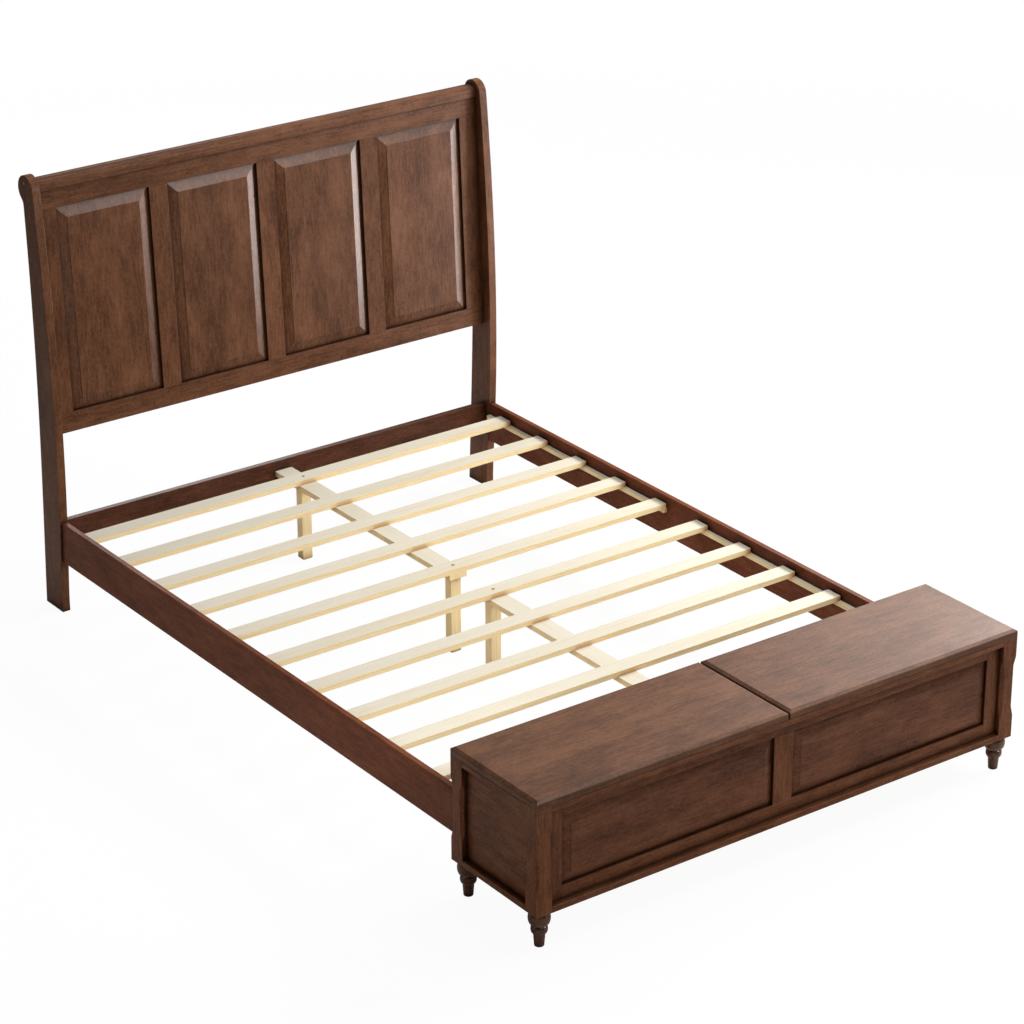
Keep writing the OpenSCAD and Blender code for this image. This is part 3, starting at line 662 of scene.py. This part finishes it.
@dataclass(frozen=True)
class Arris:
    """How far the sharp edges of a piece are eased."""

    width: float
    segments: int = 2
    sharper_than: float = math.radians(6)
    joined_within: float = millimetres(0.01)
    flat_within: float = math.radians(0.05)

    def ease(self, piece: bpy.types.Object) -> None:
        """Rounds the piece's edges, leaving its own mesh as it is.

        Args:
            piece: The piece whose edges are eased.
        """
        weld = piece.modifiers.new("joined_facets", "WELD")
        weld.merge_threshold = self.joined_within
        flat = piece.modifiers.new("flat_faces", "DECIMATE")
        flat.decimate_type = "DISSOLVE"
        flat.angle_limit = self.flat_within
        eased = piece.modifiers.new("eased_edges", "BEVEL")
        eased.width = self.width
        eased.segments = self.segments
        eased.limit_method = "ANGLE"
        eased.angle_limit = self.sharper_than
        eased.harden_normals = True
        eased.use_clamp_overlap = True


def dress(piece: str, finish: Finish, grain: Grain, arris: Arris) -> None:
    """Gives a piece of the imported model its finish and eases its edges.

    Args:
        piece: The name of the piece.
        finish: What it is made of.
        grain: The way its grain runs.
        arris: How far its edges are eased.
    """
    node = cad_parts[piece]
    node.data.materials.clear()
    node.data.materials.append(finish.material(piece, grain))
    if node.data.has_custom_normals:
        bpy.context.view_layer.objects.active = node
        bpy.ops.mesh.customdata_custom_splitnormals_clear()
    node.data.polygons.foreach_set("use_smooth", [True] * len(node.data.polygons))
    arris.ease(node)
    log.info("%s: %s, grain %s", piece, type(finish).__name__, grain.name)


WALNUT = StainedWalnut(specular=0.08)
LID_WALNUT = StainedWalnut(
    deep=colour("#4a2d1a"),
    body=colour("#603d27"),
    pale=colour("#734d34"),
    roughness=0.33,
    stave=0.075,
    stave_length=0.42,
    stave_contrast=0.17,
)
# The longer reach of the painted shade also darkens the panels' bevels.
PANEL_WALNUT = StainedWalnut(roughness=0.26, recess=millimetres(42))
CHEST_WALNUT = StainedWalnut(
    deep=colour("#4f2e1b"), body=colour("#6a4028"), pale=colour("#7e5035"), specular=0.07
)
JOINED_WALNUT = StainedWalnut(
    deep=colour("#4d2c1b"),
    body=colour("#663d28"),
    pale=colour("#7a4d35"),
    specular=0.09,
    stave=0.045,
    stave_length=0.28,
    stave_contrast=0.2,
    recess=millimetres(34),
)
FOOT_WALNUT = StainedWalnut(
    deep=colour("#432819"),
    body=colour("#583522"),
    pale=colour("#6a442f"),
    roughness=0.22,
    specular=0.3,
    stave_contrast=0.0,
)
SIDE_WALNUT = StainedWalnut(
    deep=colour("#56301f"),
    body=colour("#6c3c27"),
    pale=colour("#7d4a33"),
    specular=0.04,
    stave_contrast=0.05,
)
RAIL_WALNUT = StainedWalnut(
    deep=colour("#3b2115"),
    body=colour("#4f2e1f"),
    pale=colour("#603b2a"),
    specular=0.08,
    stave_contrast=0.05,
)
PINE = PlanedPine()
PLUG_WOOD = PlanedPine(early=colour("#b08a62"), late=colour("#93704c"), heart=colour("#7b5a3c"))
PLYWOOD = PlanedPine(early=colour("#d9bf94"), late=colour("#c7a877"), heart=colour("#b8945f"))
ZINC = FittingMetal("zinc", colour("#b9bcc0"), colour("#8c9094"))
BRONZED = FittingMetal("bronzed", colour("#8a5c34"), colour("#5c3c20"), roughness=0.45)
BRASS = FittingMetal("brass", colour("#c9a65e"), colour("#94773c"), roughness=0.3)
CURVED = math.radians(28)
SOFT_ARRIS = Arris(millimetres(1.6))
FINE_ARRIS = Arris(millimetres(0.5))
SAWN_ARRIS = Arris(millimetres(1.0))
TURNED_ARRIS = Arris(millimetres(0.8), sharper_than=CURVED)
METAL_ARRIS = Arris(millimetres(0.2), sharper_than=CURVED)


@dataclass
class Headboard:
    """Four raised panels in a frame between two curved posts, under a cap."""

    panels: int = 4
    post_arris: Arris = Arris(millimetres(1.5), segments=3, sharper_than=CURVED)

    def dress(self) -> None:
        """Finishes the posts, the frame, the panels and the low cross rail."""
        for side in SIDES:
            dress(f"headboard_post_{side}", WALNUT, Grain.Z_FACING_SIDE, self.post_arris)
            dress(f"headboard_stile_{side}", WALNUT, Grain.Z_FACING_FRONT, SOFT_ARRIS)
        for rail in ("headboard_top_rail", "headboard_bottom_rail"):
            dress(rail, WALNUT, Grain.X_UPRIGHT, SOFT_ARRIS)
        dress("headboard_cap", WALNUT, Grain.X_UPRIGHT, TURNED_ARRIS)
        for number in range(1, self.panels):
            dress(f"headboard_mullion_{number}", WALNUT, Grain.Z_FACING_FRONT, SOFT_ARRIS)
        for number in range(1, self.panels + 1):
            dress(f"headboard_panel_{number}", PANEL_WALNUT, Grain.Z_FACING_FRONT, FINE_ARRIS)
        dress("head_cross_rail", RAIL_WALNUT, Grain.X_UPRIGHT, SOFT_ARRIS)
        dress("post_plugs", PLUG_WOOD, Grain.X_FLAT, METAL_ARRIS)


@dataclass
class BedBase:
    """Two side rails with ledgers, a centre rail on legs and ten slats."""

    slat_arris: Arris = Arris(millimetres(1.2))

    def dress(self) -> None:
        """Finishes the rails, the slats, the legs and the fittings."""
        for side in SIDES:
            dress(f"side_rail_{side}", SIDE_WALNUT, Grain.Y_UPRIGHT, SOFT_ARRIS)
            dress(f"slat_ledgers_{side}", PINE, Grain.Y_FLAT, SAWN_ARRIS)
        for end in ("head", "foot"):
            dress(f"centre_rail_{end}", PINE, Grain.Y_FLAT, SAWN_ARRIS)
            dress(f"slats_{end}", PINE, Grain.X_FLAT, self.slat_arris)
        dress("support_legs", PINE, Grain.Z_FACING_SIDE, SAWN_ARRIS)
        dress("support_leg_screws", BRONZED, Grain.Z_FACING_SIDE, METAL_ARRIS)
        dress("rail_hook_plates", ZINC, Grain.Z_FACING_SIDE, METAL_ARRIS)
        dress("rail_keeper_plates", ZINC, Grain.Z_FACING_SIDE, METAL_ARRIS)


@dataclass
class BlanketChest:
    """The low chest: posts, turned feet, flush rails, panels, bottom and divider."""

    board_arris: Arris = SOFT_ARRIS
    raised_arris: Arris = FINE_ARRIS
    foot_arris: Arris = TURNED_ARRIS

    def dress(self) -> None:
        """Finishes every board of the carcass."""
        for end in ("front", "back"):
            self._dress_board(f"{end}_cover_rail", Grain.X_UPRIGHT)
            self._dress_board(f"{end}_base_rail", Grain.X_UPRIGHT)
            self._dress_board(f"{end}_mullion", Grain.Z_FACING_FRONT)
            for side in SIDES:
                self._dress_board(f"chest_post_{end}_{side}", Grain.Z_FACING_SIDE)
        for side in SIDES:
            self._dress_board(f"end_cover_rail_{side}", Grain.Y_UPRIGHT)
            self._dress_board(f"end_base_rail_{side}", Grain.Y_UPRIGHT)
            self._dress_board(f"end_panel_{side}", Grain.Y_UPRIGHT)
            self._dress_board(f"front_stile_{side}", Grain.Z_FACING_FRONT)
            dress(f"front_panel_{side}", JOINED_WALNUT, Grain.X_UPRIGHT, self.raised_arris)
        for rail in ("front_frame_top_rail", "front_frame_bottom_rail"):
            self._dress_board(rail, Grain.X_UPRIGHT)
        self._dress_board("back_panels", Grain.X_UPRIGHT)
        self._dress_board("chest_divider", Grain.Y_UPRIGHT)
        dress("bottom_board", PLYWOOD, Grain.X_FLAT, self.board_arris)
        dress("turned_feet", FOOT_WALNUT, Grain.Z_FACING_SIDE, self.foot_arris)

    def _dress_board(self, board: str, grain: Grain) -> None:
        """Finishes one board with the chest's stain."""
        dress(board, CHEST_WALNUT, grain, self.board_arris)


@dataclass(frozen=True)
class HingeScrew:
    """A countersunk wood screw with one slot."""

    head_radius: float = millimetres(3.6)
    neck_radius: float = millimetres(1.9)
    tip_radius: float = millimetres(0.4)
    head_depth: float = millimetres(1.65)
    shank: float = millimetres(10)
    slot_length: float = millimetres(8.0)
    slot_width: float = millimetres(0.9)
    slot_depth: float = millimetres(0.7)
    smooth_below: float = math.radians(35)
    sides: int = 32

    def turn(self) -> bpy.types.Object:
        """Makes the screw with its head's face up at the origin.

        Returns:
            The screw, which points down.
        """
        bpy.ops.object.select_all(action="DESELECT")
        bpy.ops.mesh.primitive_cone_add(
            vertices=self.sides,
            radius1=self.neck_radius,
            radius2=self.head_radius,
            depth=self.head_depth,
            location=(0, 0, -self.head_depth / 2),
        )
        screw = bpy.context.active_object
        bpy.ops.object.transform_apply(location=True, rotation=True, scale=True)
        self._draw_shank(screw)
        self._cut_slot(screw)
        bpy.ops.object.select_all(action="DESELECT")
        screw.select_set(True)
        bpy.context.view_layer.objects.active = screw
        bpy.ops.object.shade_smooth_by_angle(angle=self.smooth_below)
        return screw

    def _draw_shank(self, screw: bpy.types.Object) -> None:
        """Draws the neck's face down to a blunt point.

        Args:
            screw: The head, whose neck is its lowest face.
        """
        faces = screw.data.polygons
        lowest = min(face.center.z for face in faces)
        faces.foreach_set("select", [face.center.z == lowest for face in faces])
        bpy.ops.object.mode_set(mode="EDIT")
        bpy.ops.mesh.select_mode(type="FACE")
        bpy.ops.mesh.extrude_region_move(TRANSFORM_OT_translate={"value": (0, 0, -self.shank)})
        taper = self.tip_radius / self.neck_radius
        bpy.ops.transform.resize(value=(taper, taper, 1), center_override=(0, 0, 0))
        bpy.ops.object.mode_set(mode="OBJECT")

    def _cut_slot(self, screw: bpy.types.Object) -> None:
        """Cuts the driver's slot across the head.

        Args:
            screw: The screw, whose head's face is at height 0.
        """
        bpy.ops.object.select_all(action="DESELECT")
        both_ways = 2 * self.slot_depth
        bpy.ops.mesh.primitive_cube_add(size=1, scale=(self.slot_length, self.slot_width, both_ways))
        cutter = bpy.context.active_object
        cut = screw.modifiers.new("slot", "BOOLEAN")
        cut.operation = "DIFFERENCE"
        cut.object = cutter
        bpy.context.view_layer.objects.active = screw
        bpy.ops.object.modifier_apply(modifier=cut.name)
        bpy.data.objects.remove(cutter)


@dataclass
class ChestLids:
    """Two lids on butt hinges, each leaf held by three screws."""

    hinge_length: float = millimetres(76)
    screws_in_leaf: int = 3
    sunk: float = millimetres(0.05)
    screw: HingeScrew = HingeScrew()

    def dress(self) -> None:
        """Finishes the lids and their hinges and drives the screws."""
        for side in SIDES:
            dress(f"lid_{side}", LID_WALNUT, Grain.X_FLAT, FINE_ARRIS)
            dress(f"hinge_lid_leaves_{side}", BRASS, Grain.X_FLAT, METAL_ARRIS)
        dress("hinge_chest_leaves", BRASS, Grain.X_FLAT, METAL_ARRIS)
        dress("hinge_pins", ZINC, Grain.X_FLAT, METAL_ARRIS)
        self._drive_screws()

    def _drive_screws(self) -> None:
        """Puts a screw in each countersunk hole of the leaves."""
        first = self.screw.turn()
        first.data.materials.append(BRASS.material("hinge_screws", Grain.X_FLAT))
        chest_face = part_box("back_cover_rail")[1][2] - self.sunk
        for side in SIDES:
            lid_low, lid_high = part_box(f"lid_{side}")
            leaf_low, leaf_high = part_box(f"hinge_lid_leaves_{side}")
            row = (leaf_low[1] + lid_high[1]) / 2
            lid_face = lid_low[2] + self.sunk
            for number, across in enumerate(self._screw_places(leaf_low[0], leaf_high[0]), 1):
                name = f"hinge_screw_{side}_{number}"
                self._drive(first, f"{name}_chest", (across, row, chest_face), False, "bed_frame")
                self._drive(first, f"{name}_lid", (across, row, lid_face), True, f"lid_{side}")
        bpy.data.objects.remove(first)

    def _screw_places(self, low: float, high: float) -> list[float]:
        """Where the screws of one lid stand across the bed.

        Args:
            low: Where the lid's first hinge begins.
            high: Where its last hinge ends.

        Returns:
            The places, hinge by hinge.
        """
        pitch = self.hinge_length / self.screws_in_leaf
        starts = (low, high - self.hinge_length)
        middles = [pitch * (number + 0.5) for number in range(self.screws_in_leaf)]
        return [start + middle for start in starts for middle in middles]

    def _drive(
        self, first: bpy.types.Object, name: str, place: Triple, upward: bool, body: str
    ) -> None:
        """Copies the screw into one hole.

        Args:
            first: The screw that is copied.
            name: The name of the copy.
            place: The middle of its head's face.
            upward: Whether it is driven up, into a lid.
            body: The body that it moves with.
        """
        screw = first.copy()
        screw.data = first.data.copy()
        screw.name = name
        bpy.context.scene.collection.objects.link(screw)
        driven = math.pi * chance(name, 1)[0]
        screw.rotation_euler = (math.pi if upward else 0.0, 0.0, driven)
        screw.location = place
        bpy.ops.object.select_all(action="DESELECT")
        screw.select_set(True)
        bpy.context.view_layer.objects.active = screw
        bpy.ops.object.transform_apply(location=True, rotation=True, scale=True)
        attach(screw, body)
        log.info("%s: on %s", name, body)


@dataclass(frozen=True)
class SoftLamp:
    """A rectangular lamp with a soft shade, which may show only where surfaces mirror it."""

    name: str
    place: Triple
    aim: Triple
    size: Pair
    power: float
    lights_surfaces: bool = True

    def switch_on(self) -> None:
        """Adds the lamp to the scene."""
        lamp = bpy.data.lights.new(self.name, "AREA")
        lamp.shape = "RECTANGLE"
        lamp.size, lamp.size_y = self.size
        lamp.energy = self.power
        holder = bpy.data.objects.new(self.name, lamp)
        bpy.context.scene.collection.objects.link(holder)
        holder.location = self.place
        toward = Vector(self.aim) - Vector(self.place)
        holder.rotation_euler = toward.to_track_quat("-Z", "Y").to_euler()
        holder.visible_camera = False
        holder.visible_diffuse = self.lights_surfaces


@dataclass
class Studio:
    """The pale floor, the pale surroundings and the lamps."""

    floor_size: float = 80.0
    floor_tone: Colour = (0.80, 0.77, 0.73, 1.0)
    floor_veil: float = 0.95
    mirrored_veil: float = 0.06
    shadow_reach: Pair = (6.5, 2.5)
    daylight: float = 0.03
    lamps: tuple[SoftLamp, ...] = (
        SoftLamp("overhead", (0.7, 0.6, 4.8), (0, 0, 0.3), (3.0, 3.0), 50),
        SoftLamp("right_key", (3.6, -1.0, 3.2), (0, -0.4, 0.4), (1.6, 1.6), 130),
        SoftLamp("right_rim", (4.0, 0.9, 3.0), (0, 0.4, 0.6), (1.4, 1.4), 142),
        SoftLamp("right_near", (2.2, -0.6, 1.4), (0.6, 1.2, 1.0), (0.7, 0.7), 15),
        SoftLamp("cap_top", (0, 2.3, 3.4), (0, 1.25, 1.3), (2.4, 0.8), 20),
        SoftLamp("rear_fill", (1.9, 5.2, 1.7), (0, 1.3, 0.7), (1.4, 1.4), 48),
        SoftLamp("chest_top", (0.6, -2.0, 2.8), (0.2, -2.1, 0), (1.2, 0.8), 37),
        SoftLamp("left_fill", (-3.2, -0.2, 1.2), (-0.8, -0.8, 0.2), (1.2, 0.8), 11),
        SoftLamp("slat_fill", (-0.7, -0.8, 0.52), (-0.55, 0.7, 0.52), (1.0, 0.3), 1.7),
        SoftLamp("front_fill", (-0.6, -6.0, 2.6), (0, -1.2, 0.2), (2.0, 1.2), 24),
        SoftLamp("bevel_glint", (2.6, 0.15, 0.5), (0.3, 1.2, 1.0), (1.4, 1.0), 140, False),
        SoftLamp("front_sheen", (3.0, -4.6, 1.9), (-0.6, 1.2, 1.2), (1.6, 1.2), 165, False),
        SoftLamp("lid_glow", (5.0, 2.6, 1.8), (0.4, -1.0, 0.42), (2.4, 2.0), 66, False),
        SoftLamp("lid_sheen", (4.2, 2.8, 3.0), (0.6, -1.0, 0.42), (1.4, 1.2), 15, False),
        SoftLamp("lid_haze", (2.6, 2.9, 3.0), (-0.4, -1.0, 0.42), (1.8, 1.4), 11, False),
    )

    def build(self) -> None:
        """Sets the bed on its floor and lights it."""
        self._lay_floor()
        self._colour_world()
        for lamp in self.lamps:
            lamp.switch_on()

    def _lay_floor(self) -> None:
        """A wide pale floor that is white from the camera but for the bed's shadow."""
        bpy.ops.object.select_all(action="DESELECT")
        bpy.ops.mesh.primitive_plane_add(size=self.floor_size)
        floor = bpy.context.active_object
        floor.name = "studio_floor"
        graph = Graph.of_material("studio_floor")
        seen = graph.node("ShaderNodeLightPath", None, None, "Is Camera Ray")
        mirrored = graph.node("ShaderNodeLightPath", None, None, "Is Glossy Ray")
        through = graph.node("ShaderNodeLightPath", None, None, "Is Transmission Ray")
        looked_at = seen + through + self.mirrored_veil * mirrored
        tone = graph.mix(looked_at, self.floor_tone, WHITE)
        paper = graph.node("ShaderNodeBsdfDiffuse", None, {"Color": tone})
        veil = graph.node("ShaderNodeEmission", None, {"Color": WHITE, "Strength": 1.0})
        own = graph.node("ShaderNodeTexCoord", output="Object")
        away = graph.node("ShaderNodeVectorMath", {"operation": "LENGTH"}, {0: own}, "Value")
        near = graph.ramp(away, *self.shadow_reach)
        share = looked_at * (1 - (1 - self.floor_veil) * near)
        mixed = graph.node("ShaderNodeMixShader", None, {0: share, 1: paper, 2: veil})
        graph.add("ShaderNodeOutputMaterial", None, {"Surface": mixed})
        floor.data.materials.append(graph.owner)

    def _colour_world(self) -> None:
        """White surroundings, which give the bed only a little light of their own."""
        world = bpy.data.worlds.new("pale_surroundings")
        bpy.context.scene.world = world
        graph = Graph(world)
        seen = graph.node("ShaderNodeLightPath", None, None, "Is Camera Ray")
        strength = graph.node("ShaderNodeMapRange", None, {"Value": seen, "To Min": self.daylight})
        sockets = {"Color": WHITE, "Strength": strength}
        light = graph.node("ShaderNodeBackground", None, sockets)
        graph.add("ShaderNodeOutputWorld", None, {"Surface": light})


@dataclass
class PhotographCamera:
    """The camera where the photograph was taken from."""

    place: Triple = (-5.11899, -7.05307, 4.47441)
    heading: float = math.radians(36.72)
    dip: float = math.radians(24.41)
    roll: float = math.radians(0.14)
    lens: float = 119.025
    sensor: float = 36.0
    shift: Pair = (-0.0289, 0.00452)

    def stand(self) -> None:
        """Puts the camera up and looks through it."""
        data = bpy.data.cameras.new("camera")
        data.lens = self.lens
        data.sensor_width = self.sensor
        data.shift_x, data.shift_y = self.shift
        camera = bpy.data.objects.new("camera", data)
        bpy.context.scene.collection.objects.link(camera)
        upright = Matrix.Rotation(-self.heading, 4, "Z") @ Matrix.Rotation(
            math.pi / 2 - self.dip, 4, "X"
        )
        camera.matrix_world = (
            Matrix.Translation(self.place) @ upright @ Matrix.Rotation(self.roll, 4, "Z")
        )
        bpy.context.scene.camera = camera


def main() -> None:
    """Dresses the bed piece by piece and sets up the studio."""
    logging.basicConfig(level=logging.INFO, format="%(name)s: %(message)s")
    bpy.ops.object.select_all(action="DESELECT")
    for assembly in (Headboard(), BedBase(), BlanketChest(), ChestLids()):
        assembly.dress()
    Studio().build()
    PhotographCamera().stand()
    bpy.context.scene.view_settings.view_transform = "Standard"


if __name__ == "__main__":
    main()
